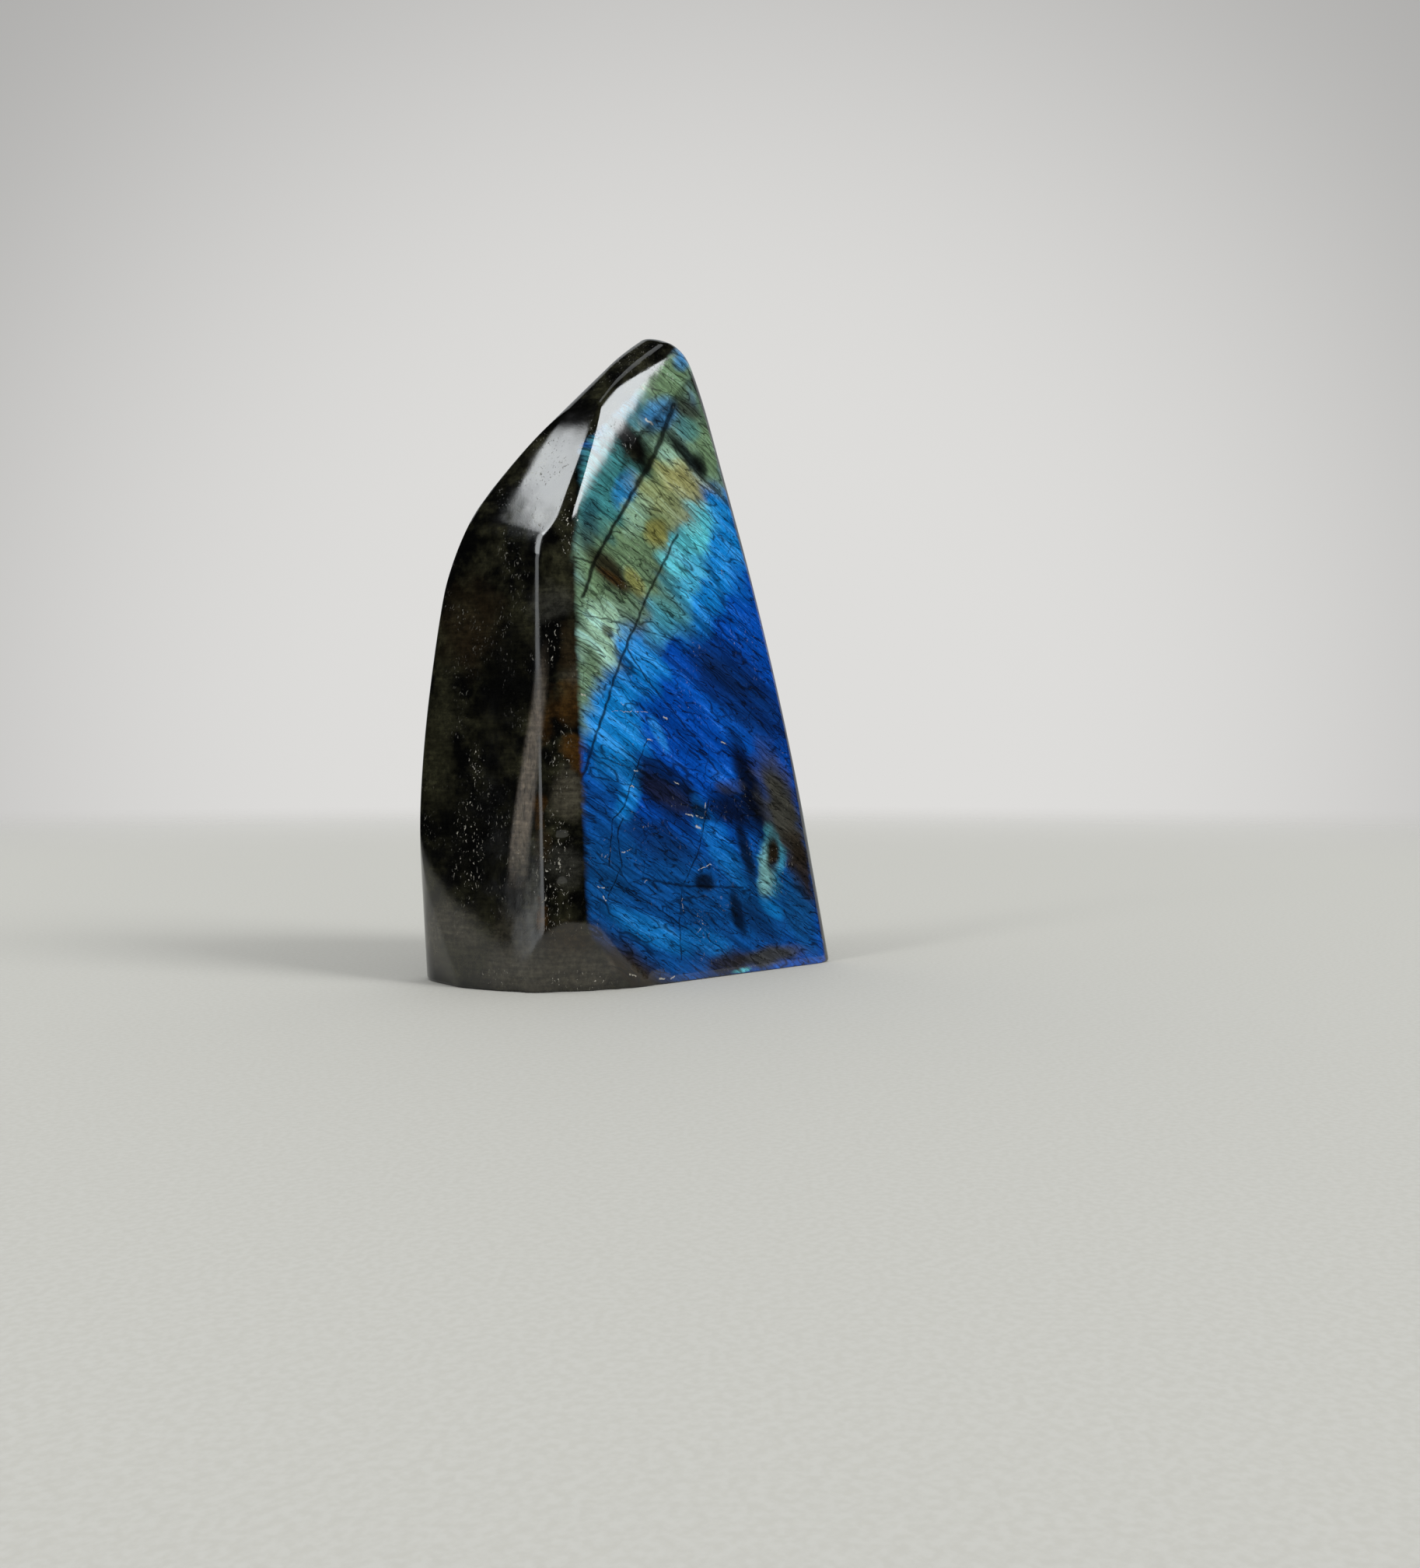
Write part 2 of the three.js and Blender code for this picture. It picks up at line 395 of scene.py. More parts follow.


# Patches of the flash, and two painted glints near the base: name, place on the face to the right and
# up, half length and half width in millimetres, lean in degrees, colour and how much of it shows. Later
# ones lie over earlier ones.
FLASH_PATCHES = [
    ("steel low field", 12, 10, 24, 12, -8, "steel", 0.8),
    ("steel low right", 36, 14, 10, 10, -60, "steel", 0.7),
    ("green slope", 9.5, 66, 25, 10, 58, "moss", 1.0),
    ("azure slope", 26, 62.5, 12, 4.6, 62, "azure", 0.95),
    ("cyan slope", 19.5, 60, 12, 3.6, 58, "cyan", 0.55),
    ("cyan hot spot", 23.3, 67.2, 5.0, 2.6, 35, "cyan", 1.0),
    ("pale teal band", 25.5, 71, 4.4, 1.3, -5, "cyan", 0.75),
    ("blue right of the top", 29.5, 72.3, 2.6, 2.0, 0, "azure", 0.6),
    ("azure upper right", 29.5, 66, 8, 3.0, -72, "azure", 0.8),
    ("royal right rim", 33.5, 54, 9, 2.2, -72, "royal", 0.6),
    ("teal left", 5.8, 73, 9.5, 5.0, 55, "teal", 1.0),
    ("blue glow in the teal", 9.6, 72.4, 3.2, 1.8, 55, "azure", 0.6),
    ("dark blue in the teal", 2.6, 66.3, 4.5, 1.4, 75, "indigo", 0.5),
    ("dull teal top", 13, 87, 6.0, 3.0, 42, "teal", 0.75),
    ("moss top", 20, 90.6, 6.5, 4.2, 40, "moss", 1.0),
    ("blue top", 17.5, 84.8, 3.6, 2.2, 35, "azure", 0.55),
    ("pale blue tip", 23.3, 94, 2.2, 1.2, 40, "azure", 0.5),
    ("moss right of the top", 27.8, 86, 8, 2.2, -70, "moss", 0.9),
    ("moss ring", 26, 80.5, 7.0, 2.9, -65, "moss", 1.0),
    ("green ring inside", 22.7, 83.4, 2.4, 1.9, 0, "teal", 0.6),
    ("pale green wedge", 18.5, 78.4, 3.2, 1.8, -30, "pale_green", 0.75),
    ("gold", 20.8, 75.2, 5.2, 2.5, -15, "gold", 0.85),
    ("amber touch", 21, 76.2, 1.6, 0.9, 0, "amber", 0.25),
    ("yellow green", 17.0, 71.6, 6.5, 3.0, -20, "gold", 0.45),
    ("pale green left", 11.8, 69, 3.4, 2.4, 50, "pale_green", 0.5),
    ("olive patch", 15.2, 66.4, 2.6, 1.9, 30, "olive", 0.95),
    ("cyan by the cleft", 17.6, 61.8, 3.4, 1.2, -20, "cyan", 0.7),
    ("moss streaks", 14.5, 57.4, 6.0, 1.8, -35, "moss", 0.6),
    ("teal middle", 17, 54, 4.8, 2.0, -30, "teal", 0.6),
    ("umber patch", 5.4, 59.8, 4.2, 2.1, -38, "umber", 0.95),
    ("amber in the umber", 6.6, 58.4, 3.2, 0.7, -25, "amber", 0.6),
    ("olive by the umber", 10.2, 58.5, 2.6, 1.3, -55, "olive", 0.85),
    ("pale green low", 3.4, 50.3, 5.6, 4.0, 60, "pale_green", 1.0),
    ("slate spot", 4.5, 50.9, 1.2, 0.8, -35, "slate", 0.8),
    ("moss low left", -0.2, 41.8, 6.5, 2.4, 80, "moss", 0.9),
    ("azure bay", 10.2, 47.2, 5.0, 2.6, -42, "azure", 0.95),
    ("azure field", 5.4, 37.3, 8.0, 5.4, 75, "azure", 1.0),
    ("royal wedge", 15.8, 35, 8.0, 4.0, -40, "royal", 1.0),
    ("azure rim of the wedge", 12.9, 36.4, 2.8, 1.0, -60, "azure", 0.5),
    ("indigo right field", 31, 43, 13, 5.0, -35, "indigo", 0.75),
    ("indigo streak", 26.5, 46, 6.0, 1.3, -35, "indigo", 0.7),
    ("steel lower left", 1.5, 22, 11, 5.4, 88, "steel", 0.6),
    ("azure bright", 6.6, 27.6, 4.2, 1.8, 60, "azure", 0.7),
    ("indigo hollow", 14, 27.8, 8.0, 3.3, -32, "indigo", 0.95),
    ("umber in the hollow", 13.5, 27.5, 5.0, 1.7, -30, "umber", 0.4),
    ("indigo low", 11.5, 21, 7.0, 2.6, -25, "indigo", 0.6),
    ("azure band right", 23.6, 19.8, 7.5, 2.4, -58, "azure", 0.35),
    ("black notch", 20.4, 24.6, 2.2, 1.2, -30, "black", 0.8),
    ("black shaft", 31.2, 28, 8.8, 2.2, -68, "black", 0.95),
    ("black middle", 27.4, 24.8, 5.4, 3.0, -15, "black", 0.92),
    ("haze over the black", 27, 28.4, 3.0, 1.2, 0, "slate", 0.4),
    ("black left of the eye", 29.2, 18.6, 4.8, 1.1, -75, "black", 0.85),
    ("slate right edge", 37.6, 25, 9.5, 4.0, -70, "slate", 1.0),
    ("umber right edge", 41, 15, 6.5, 2.4, -75, "umber", 0.95),
    ("eye glow", 34.3, 16.3, 5.0, 2.6, 78, "cyan", 0.45),
    ("eye rim", 33.6, 15.4, 4.2, 1.8, 80, "pale_green", 0.45),
    ("eye", 35.0, 17.9, 3.0, 1.4, 82, "umber", 1.0),
    ("azure below the eye", 34, 9.6, 2.9, 1.2, -30, "azure", 0.7),
    ("dark spot", 20, 14.2, 2.0, 1.3, -10, "black", 0.9),
    ("dark bar", 26.6, 9.2, 3.4, 1.3, -75, "black", 0.85),
    ("steel corner", 40, 8, 8.0, 3.2, -62, "steel", 0.85),
    ("indigo right low", 31, 7, 5.0, 1.5, -40, "indigo", 0.5),
    ("azure low strip", 9, 7.8, 7.5, 1.8, -25, "azure", 0.55),
    ("azure low right", 20, 5.4, 5.0, 1.8, -20, "azure", 0.3),
    # Painted glint: a blue-white glint on the base edge, laid on in cyan.
    ("glint", 26.5, 0.6, 1.7, 0.4, 3, "cyan", 1.0),
    ("slate foot", 32.5, 2.2, 7.5, 1.4, 2, "slate", 0.95),
    ("umber foot", 24, 2.0, 4.0, 1.8, 10, "umber", 0.85),
    ("umber corner", 3.2, 1.2, 17, 4.6, -31, "umber", 1.0),
    # Painted glints: a cluster of pale tan glints near the base, laid on in buff.
    ("painted tan glints", 0.8, 3.2, 2.2, 1.2, -60, "painted_sheen_buff", 0.55),
    ("black bar", 11.8, 79.4, 4.9, 2.0, -50, "black", 1.0),
    ("black bar right", 22.3, 79.2, 4.6, 1.1, -38, "black", 0.92),
    ("black knob", 24.9, 77.9, 2.0, 1.3, -60, "black", 0.85),
    ("dark top right", 23.2, 86.4, 2.8, 1.4, -10, "umber", 0.75),
]

# Patches up to this half width, in millimetres, keep their shape better.
SMALL_PATCH = 2.3

# Where a patch, a cloud and a cluster of specks begin and are full, as squared distances that are 1
# at their ovals.
PATCH_EDGE = (1.9, 0.15)
CLOUD_EDGE = (2.2, 0.0)
CLUSTER_EDGE = (1.6, 0.2)

# Where a crack and a scuff begin and are full, as shares of their half widths.
CRACK_EDGE = (1.6, 0.35)
SCUFF_EDGE = (0.95, 0.2)

# Cracks in the face: half width in millimetres, darkness, and places to the right and up.
FACE_CRACKS = {
    "upper cleft top": (0.55, 0.9, [(20.5, 86.6), (15.8, 78.2), (11.9, 73.2)]),
    "upper cleft": (0.34, 0.9, [(11.9, 73.2), (4.8, 63.7), (2.7, 60.8), (0.3, 55.7)]),
    "middle cleft": (0.26, 0.85, [(19.3, 66.6), (12.6, 57.0), (6.1, 46.2), (-2.0, 29.6)]),
    "umber edge": (0.2, 0.8, [(-0.7, 61.3), (2.5, 60.7), (6.4, 58.3), (10.6, 54.4)]),
    "umber top": (0.16, 0.5, [(3.3, 64.7), (7.3, 62.0), (10.8, 59.3)]),
    "crossing": (0.15, 0.75, [(-0.8, 53.3), (6.6, 52.4), (13.9, 51.1), (21.0, 49.5)]),
    "long fall": (0.17, 0.8, [(7.7, 48.8), (11.1, 44.4), (14.9, 40.8), (21.6, 34.5)]),
    "left fall": (0.14, 0.7, [(0.5, 47.6), (5.4, 44.6), (8.7, 43.5), (13.1, 40.5)]),
    "right fall": (0.4, 0.5, [(11.5, 49.9), (16.0, 47.5), (26.5, 40.9)]),
    "soft fall": (0.5, 0.5, [(14.6, 60.7), (18.5, 57.0), (26.0, 50.7)]),
    "soft fall right": (0.45, 0.45, [(19.3, 67.4), (25.7, 61.9), (27.9, 57.7)]),
    "twig": (0.1, 0.6, [(5.6, 43.8), (7.2, 41.7), (9.0, 39.6)]),
    "wander": (0.13, 0.85, [(10.7, 35.5), (8.0, 31.1), (5.4, 25.7), (3.1, 24.0), (2.0, 17.5)]),
    "wander right": (0.12, 0.8, [(5.0, 24.2), (3.8, 21.7), (4.3, 17.4), (1.3, 13.0)]),
    "rung upper": (0.11, 0.7, [(1.8, 32.9), (8.0, 31.1), (10.7, 30.3)]),
    "rung lower": (0.11, 0.7, [(-1.4, 30.6), (7.1, 28.8), (11.1, 27.2)]),
    "upright": (0.14, 0.8, [(22.1, 26.5), (19.3, 18.8), (15.7, 14.0), (14.6, 8.5), (14.5, 3.3)]),
    "level": (0.2, 0.75, [(8.2, 15.4), (15.7, 14.0), (28.2, 13.0)]),
    "low fall": (0.12, 0.8, [(3.1, 14.9), (8.6, 12.1), (18.6, 6.1)]),
    "lower fall": (0.1, 0.75, [(1.3, 13.0), (8.5, 10.5), (14.9, 8.0)]),
    "lowest fall": (0.1, 0.7, [(4.3, 9.0), (8.8, 6.2), (11.4, 4.6)]),
    "right low fall": (0.12, 0.7, [(15.6, 13.4), (19.8, 11.1), (24.7, 7.8)]),
}

# Pale scuffs on the face: half width, and the two ends to the right and up, all in millimetres.
FACE_SCUFFS = [
    (0.30, (19.2, 22.6), (19.9, 22.3)),
    (0.14, (17.3, 24.5), (18.6, 24.2)),
    (0.12, (19.2, 24.2), (20.6, 23.8)),
    (0.12, (21.3, 25.2), (21.4, 26.0)),
    (0.14, (15.3, 29.4), (16.2, 28.9)),
    (0.13, (10.7, 35.6), (11.5, 35.3)),
    (0.12, (7.7, 31.0), (8.4, 30.9)),
    (0.12, (6.8, 28.7), (7.4, 28.6)),
    (0.07, (4.2, 39.5), (11.0, 39.5)),
    (0.18, (14.1, 38.9), (14.7, 38.5)),
    (0.16, (25.5, 35.2), (26.6, 34.9)),
    (0.10, (6.0, 40.8), (6.5, 40.5)),
    (0.12, (0.5, 13.3), (1.0, 12.8)),
    (0.10, (-0.2, 14.8), (0.8, 14.5)),
    (0.10, (18.9, 8.4), (19.8, 7.9)),
    (0.10, (18.0, 6.9), (18.8, 7.4)),
    (0.10, (8.4, 14.8), (8.9, 15.1)),
    (0.09, (4.5, 19.3), (6.2, 19.6)),
    (0.10, (18.7, 16.0), (21.8, 16.9)),
    (0.10, (15.4, 12.0), (15.5, 10.3)),
    (0.14, (4.6, 2.1), (5.6, 1.7)),
    (0.16, (10.2, 0.8), (11.0, 0.7)),
    (0.16, (12.2, 0.7), (12.9, 0.9)),
    (0.45, (14.4, 88.6), (15.0, 88.4)),
    (0.28, (14.7, 83.6), (15.9, 83.0)),
    (0.16, (-0.9, 41.8), (-0.4, 41.5)),
]

# Clouds in the dark body: name, place in millimetres, half width and half height, colour, share.
BODY_CLOUDS = [
    ("mud upper end", (-28.1, 2.5, 52), (5, 6), "umber", 0.7),
    ("black middle end", (-25.5, -3, 44), (4, 7), "black", 0.9),
    ("olive far end", (-30.7, 7, 34), (3, 7), "mud", 0.8),
    ("black low end", (-28.5, 0, 22), (6, 8), "black", 0.8),
    ("smoke left foot", (-30.7, 5.4, 7), (6, 4.5), "smoke", 0.95),
    ("mud left foot", (-30, 3.5, 4), (3, 2.5), "mud", 0.9),
    ("slate foot of the bevel", (-26, -6, 6), (4, 5), "smoke", 0.55),
    ("smoke top of the nose", (-21.6, -8.3, 54.6), (3, 2.5), "slate", 0.5),
    ("black lump", (-21, -9.1, 50.4), (1.8, 1.6), "black", 1.0),
    ("amber upper", (-19, -10.5, 47.8), (1.6, 3.4), "umber", 0.9),
    ("smoke middle", (-19.3, -10.9, 44), (1.4, 1.4), "smoke", 0.5),
    ("amber middle", (-20, -10.8, 40.8), (2.2, 2.6), "amber", 0.5),
    ("amber rim", (-23, -8.9, 38.2), (1.4, 2.4), "amber", 0.4),
    ("black pocket", (-21.2, -10.3, 37), (1.4, 1.2), "black", 1.0),
    ("black pocket low", (-22.7, -9.7, 33.5), (1.2, 1.8), "black", 1.0),
    ("rust", (-19.3, -11.8, 33.6), (1.5, 2.4), "amber", 0.75),
    ("smoke low", (-20.6, -11.8, 27.4), (2.4, 3.0), "smoke", 0.95),
    ("rust left", (-23.9, -9.2, 25.4), (1.0, 2.2), "amber", 0.55),
    ("umber left", (-23.7, -9.9, 20.6), (1.1, 2.4), "umber", 0.9),
    ("smoke lower", (-21.5, -12, 17.5), (2.2, 3.0), "slate", 0.5),
    ("black low", (-23.3, -11.1, 14.4), (1.1, 1.4), "black", 0.9),
    ("slate strip", (-24.8, -8.8, 14), (0.9, 4.5), "slate", 0.7),
    ("rust low", (-24.1, -10.2, 10.6), (1.0, 2.0), "amber", 0.6),
    ("olive low", (-21.5, -12.8, 7), (3.4, 3.0), "umber", 0.85),
    ("brown foot", (-22, -10, 2.6), (9, 3.4), "smoke", 0.85),
    ("dark top", (-12.5, 4, 86), (3.5, 2), "umber", 0.6),
    ("grey top", (0, 0.7, 95.8), (4, 1.6), "mud", 0.8),
]

# Clusters of pale specks, rough pits that are partly painted glints: place in millimetres, half width
# and half height, how strongly they show.
SPECK_AND_GLINT_CLUSTERS = {
    "upper end": ((-27.8, 0.2, 50), (2.4, 4), 0.5),
    "middle end": ((-28.3, 0.6, 32), (1.6, 3.2), 1.0),
    "lower end": ((-28.8, 1.2, 20), (2.6, 8), 0.9),
    "vein": ((-25.9, -3.0, 49), (1.1, 7), 0.8),
    "upper nose": ((-18.2, -8.4, 67), (1.7, 6), 1.0),
    "nose pits": ((-21.5, -9.4, 49), (1.7, 3), 1.0),
    "middle nose": ((-21.0, -10.4, 32), (1.8, 6), 0.6),
    "lower nose": ((-22.6, -10.8, 16), (2.6, 9), 0.9),
    "foot": ((-20, -12.3, 1.5), (5, 1.6), 1.0),
    "left foot": ((-27.3, -4.2, 2.0), (3, 1.3), 0.7),
}

# A paler, duller strip beside the ridge left of the nose, painted in as the ridge's sheen, a painted
# reflection: its places, its half width where it begins and is full, and the heights between which each
# end fades, in millimetres.
RIDGE_SHEEN_LINE = [
    (-23.2, -9.8, 54), (-23.7, -9.1, 46), (-24.5, -8.1, 36), (-25.6, -6.8, 22), (-26.0, -6.2, 8)
]
RIDGE_SHEEN_WIDTH = (2.0, 1.0)
RIDGE_SHEEN_FOOT = (12, 24)
RIDGE_SHEEN_TOP = (55, 42)

# Streaks of the flash along its lamellae: length and width in millimetres, dimmest and brightest.
BROAD_STREAKS = (14, 1.7, 0.66, 1.36)
NARROW_STREAKS = (8, 0.4, 0.74, 1.24)

# Hairlines in the flash: lean in degrees, length and spacing in millimetres, how near to the middle
# value of their waves they begin, and darkness.
HAIRLINES = [
    (-26, 9, 1.1, 0.018, 0.85),
    (-37, 7, 0.8, 0.016, 0.6),
    (-31, 14, 2.6, 0.022, 0.75),
]

# Broad and fine waves draw the patches out along the lamellae: how far, and the waves' own sizes
# along and across them, in millimetres. Small patches follow a part of it only.
BROAD_PULL = 5.0
FINE_PULL = 1.5
BROAD_WAVES = (16, 2.4, 6)
FINE_WAVES = (9, 0.45, 3)
SMALL_PATCH_PULL = 0.3

# Where a broad streak is bright and its colour is blue, the flash gleams paler: between these
# brightnesses of the streak and of the colour's blue and green, and by this share.
GLEAM_STREAK = (0.9, 1.4)
GLEAM_BLUE = (0.35, 1.1)
GLEAM_SHARE = 0.22
BLUE_AND_GREEN = (0.2, 1.0, 1.0)

# The flash ends below the face's plane between these depths, in millimetres.
FACE_RIM = (0.65, 0.27)

# Near the top left the flash also lies on the facet beside the face, right of a bent border. How far
# right the border lies is the larger of two lines: millimetres right for each one up, and the start.
FLASH_BORDERS = [(0.25, -16.0), (1.08, -80.8)]
BORDER_EDGE = (-0.3, 0.9)
BORDER_REACH = (8.0, 6.0)
BORDER_FOOT = (60, 63)
BORDER_DEPTH = (3.0, 2.4)

# How much of the specks (rough pits, partly painted glints), the scuffs and the painted sheen strip by
# the ridge shows as a paler colour.
SPECK_AND_GLINT_SHARE = 0.75
SCUFF_SHARE = 0.7
RIDGE_SHEEN_SHARE = 0.6

# Roughness of the polish where it is cleanest and most smeared, and what dull marks add to it.
POLISH = (0.05, 0.11)
DULL_ROUGHNESS = 0.3

# Height of the skin's waves, grain and pits as shares of the bump's depth, which is in millimetres.
WAVES = 0.5
GRAIN = 0.05
PITS = -0.8
BUMP_DEPTH = 0.06
BUMP_STRENGTH = 0.5
REFRACTION = 1.56


def paint_patches(recipe, broad_place, close_place, ground, patches, colours):
    """Lays soft-edged oval patches over a ground colour; small ones are drawn less out of shape."""
    for _, right, up, length, width, lean, name, share in patches:
        place = broad_place if width > SMALL_PATCH else close_place
        away = recipe.oval(place, (right, up), lean, length, width)
        cover = recipe.fade(away, *PATCH_EDGE, 0.0, share)
        ground = recipe.blend(cover, ground, tuple(getattr(colours, name)))
    return ground


def paint_clouds(recipe, place, ground, clouds, colours):
    """Lays soft clouds over a ground colour in the depth of the stone."""
    for _, centre, size, name, share in clouds:
        cover = recipe.fade(recipe.ball(place, centre, *size), *CLOUD_EDGE, 0.0, share)
        ground = recipe.blend(cover, ground, tuple(getattr(colours, name)))
    return ground


def line_mark(recipe, place, half_width, edge, corners, share=1.0):
    """How strongly a bent line shows at a place: full along the line and not at all past its edge."""
    away = recipe.beside_bends(place, corners)
    return recipe.fade(away, half_width * edge[0], half_width * edge[1], 0.0, share)


def all_cracks(recipe, place):
    cracks = (
        line_mark(recipe, place, half_width, CRACK_EDGE, corners, darkness)
        for half_width, darkness, corners in FACE_CRACKS.values()
    )
    return recipe.combine("MAXIMUM", cracks)


def all_scuffs(recipe, place):
    scuffs = (
        line_mark(recipe, place, half_width, SCUFF_EDGE, ends) for half_width, *ends in FACE_SCUFFS
    )
    return recipe.combine("MAXIMUM", scuffs)


def hairlines(recipe, place, lean, length, width, thickness, amount):
    """Thin lines that run one way, fade out and start again."""
    waves = recipe.noise(recipe.laid(place, lean, (length, width, length)), detail=1.5, rough=0.6)
    away = recipe.number("ABSOLUTE", recipe.number("SUBTRACT", waves, 0.5))
    return recipe.fade(away, thickness, 0.0, 0.0, amount)


def crazing(recipe, flat):
    """A net of very thin cracks that shows in some areas of the face."""
    away = recipe.from_seams(shifted_by_noise(recipe, flat, 1.5, 1.8), 4.2)
    here = recipe.fade(recipe.noise(flat, 7.0, detail=1), 0.46, 0.62)
    return recipe.number("MULTIPLY", recipe.fade(away, 0.03, 0.0, 0.0, 0.6), here)


def pale_specks_and_glints(recipe, place):
    """Pale curved specks in clusters where the stone's small flaws break the polish: rough pits,
    painted pale partly as glints.
    """
    curled = shifted_by_noise(recipe, place, 0.8, 1.1)
    strokes = recipe.noise(recipe.laid(curled, 30, (0.34, 0.2, 0.8)), detail=1.5)
    specks = recipe.fade(strokes, 0.66, 0.72)
    here = recipe.fade(recipe.noise(place, 6.0, detail=2), 0.5, 0.72, 0.0, 0.35)
    for centre, size, share in SPECK_AND_GLINT_CLUSTERS.values():
        cluster = recipe.fade(recipe.ball(place, centre, *size), *CLUSTER_EDGE, 0.0, share)
        here = recipe.number("MAXIMUM", here, cluster)
    return recipe.number("MULTIPLY", specks, here)


def depth_below(recipe, place, facet):
    """How deep a place lies below a facet's plane, in millimetres."""
    distance = FACETS[facet][2] + float(facet_normal(facet) @ HEART)
    height = recipe.vector("DOT_PRODUCT", place, tuple(facet_normal(facet)))
    return recipe.number("SUBTRACT", distance, height)


def shifted_by_noise(recipe, place, size, reach):
    """The place moved by up to about half the reach, differently along each axis."""
    node = recipe.add("TexNoise", {"Vector": place, "Scale": 1 / size, "Detail": 3.0})
    half = (-reach / 2,) * 3
    move = recipe.vector("MULTIPLY_ADD", node.outputs["Color"], (reach,) * 3, half)
    return recipe.vector("ADD", place, move)


def streaks(recipe, flat, length, width, low, high):
    """Lighter and darker streaks along the lamellae."""
    place = recipe.laid(flat, LAMELLA_LEAN, (length, width, length))
    return recipe.fade(recipe.noise(place, detail=3, rough=0.6), 0.3, 0.7, low, high)


def pulled_along(recipe, flat):
    """The place on the face, drifted and drawn out along the lamellae, fully and much less."""
    lean = math.radians(LAMELLA_LEAN)
    coarse = recipe.noise(recipe.laid(flat, LAMELLA_LEAN, BROAD_WAVES), detail=2, rough=0.5)
    fine = recipe.noise(recipe.laid(flat, LAMELLA_LEAN, FINE_WAVES), detail=2, rough=0.5)
    pull = recipe.number("MULTIPLY_ADD", fine, FINE_PULL, -(BROAD_PULL + FINE_PULL) / 2)
    pull = recipe.number("MULTIPLY_ADD", coarse, BROAD_PULL, pull)
    drifted = shifted_by_noise(recipe, flat, 4.0, 3.6)
    broad = recipe.vector("ADD", drifted, recipe.scaled((math.cos(lean), math.sin(lean), 0), pull))
    close = recipe.scaled(broad, SMALL_PATCH_PULL)
    close = recipe.vector("ADD", close, recipe.scaled(flat, 1 - SMALL_PATCH_PULL))
    return broad, close


def make_flash(recipe, flat, colours):
    """The colours of the flash, with two painted glints, the streaks of its lamellae and its cracks."""
    fall = recipe.noise(recipe.laid(flat, LAMELLA_LEAN, (22, 5, 9)), detail=1)
    flash = recipe.blend(recipe.fade(fall, 0.4, 0.65), tuple(colours.royal), tuple(colours.lapis))
    flash = paint_patches(recipe, *pulled_along(recipe, flat), flash, FLASH_PATCHES, colours)

    broad = streaks(recipe, flat, *BROAD_STREAKS)
    narrow = streaks(recipe, flat, *NARROW_STREAKS)
    grain = recipe.fade(recipe.noise(flat, 0.5, detail=3, rough=0.7), 0.25, 0.75, 0.8, 1.18)
    light = recipe.number("MULTIPLY", recipe.number("MULTIPLY", broad, narrow), grain)
    flash = recipe.blend(1.0, flash, light, "MULTIPLY")
    blue = recipe.vector("DOT_PRODUCT", flash, BLUE_AND_GREEN)
    gleam = recipe.fade(broad, *GLEAM_STREAK, 0.0, GLEAM_SHARE)
    gleam = recipe.number("MULTIPLY", gleam, recipe.fade(blue, *GLEAM_BLUE))
    flash = recipe.blend(gleam, flash, tuple(colours.gleam))

    wavy = shifted_by_noise(recipe, flat, 2.4, 1.0)
    fine = recipe.combine("MAXIMUM", (hairlines(recipe, wavy, *hairline) for hairline in HAIRLINES))
    fine = recipe.number("MAXIMUM", fine, crazing(recipe, flat))
    cracks = all_cracks(recipe, shifted_by_noise(recipe, flat, 1.6, 0.8))
    return recipe.blend(recipe.number("MAXIMUM", fine, cracks), flash, tuple(colours.black))


def painted_ridge_sheen(recipe, place):
    """How strongly the painted sheen, a painted reflection along the ridge left of the nose, shows at a
    place.
    """
    across = recipe.fade(recipe.beside_bends(place, RIDGE_SHEEN_LINE), *RIDGE_SHEEN_WIDTH)
    height = recipe.add("SeparateXYZ", {0: place}).outputs["Z"]
    along = recipe.number("MULTIPLY", recipe.fade(height, *RIDGE_SHEEN_FOOT), recipe.fade(height, *RIDGE_SHEEN_TOP))
    ragged = recipe.noise(recipe.laid(place, 0, (1, 1, 4)), 0.5, detail=4, rough=0.7)
    sheen = recipe.number("MULTIPLY", along, recipe.fade(ragged, 0.2, 0.65, 0.3, 1.0))
    return recipe.number("MULTIPLY", across, sheen)


def make_body(recipe, place, colours):
    """The colours of the stone that doesn't flash: near black, with clouds, fibres and a painted sheen
    along the ridge.
    """
    cloud = recipe.noise(place, 5.0, detail=5, rough=0.62)
    body = recipe.blend(recipe.fade(cloud, 0.4, 0.68), tuple(colours.black), tuple(colours.mud))
    stirred = shifted_by_noise(recipe, place, 3.2, 4.5)
    body = paint_clouds(recipe, stirred, body, BODY_CLOUDS, colours)
    sheen = painted_ridge_sheen(recipe, place)
    # Painted reflection: the ridge's sheen is laid on as a paler buff colour.
    body = recipe.blend(recipe.number("MULTIPLY", sheen, RIDGE_SHEEN_SHARE), body, tuple(colours.painted_sheen_buff))
    mottle = recipe.fade(recipe.noise(place, 0.9, detail=4, rough=0.7), 0.3, 0.75, 0.5, 1.4)
    fibres = recipe.noise(recipe.laid(place, 24, (5, 5, 0.5)), detail=3, rough=0.6)
    fibres = recipe.fade(fibres, 0.3, 0.7, 0.75, 1.3)
    return recipe.blend(1.0, body, recipe.number("MULTIPLY", mottle, fibres), "MULTIPLY")


def relief(recipe, place, pits_and_glints):
    """Height of the polished skin: faint waves from the wheel, fine grain and pits at the specks."""
    waves = recipe.noise(recipe.laid(place, 0, (3, 3, 5)), detail=1)
    grain = recipe.noise(place, 0.35, detail=3, rough=0.7)
    height = recipe.number("MULTIPLY_ADD", grain, GRAIN, recipe.number("MULTIPLY", waves, WAVES))
    return recipe.number("MULTIPLY_ADD", pits_and_glints, PITS, height)


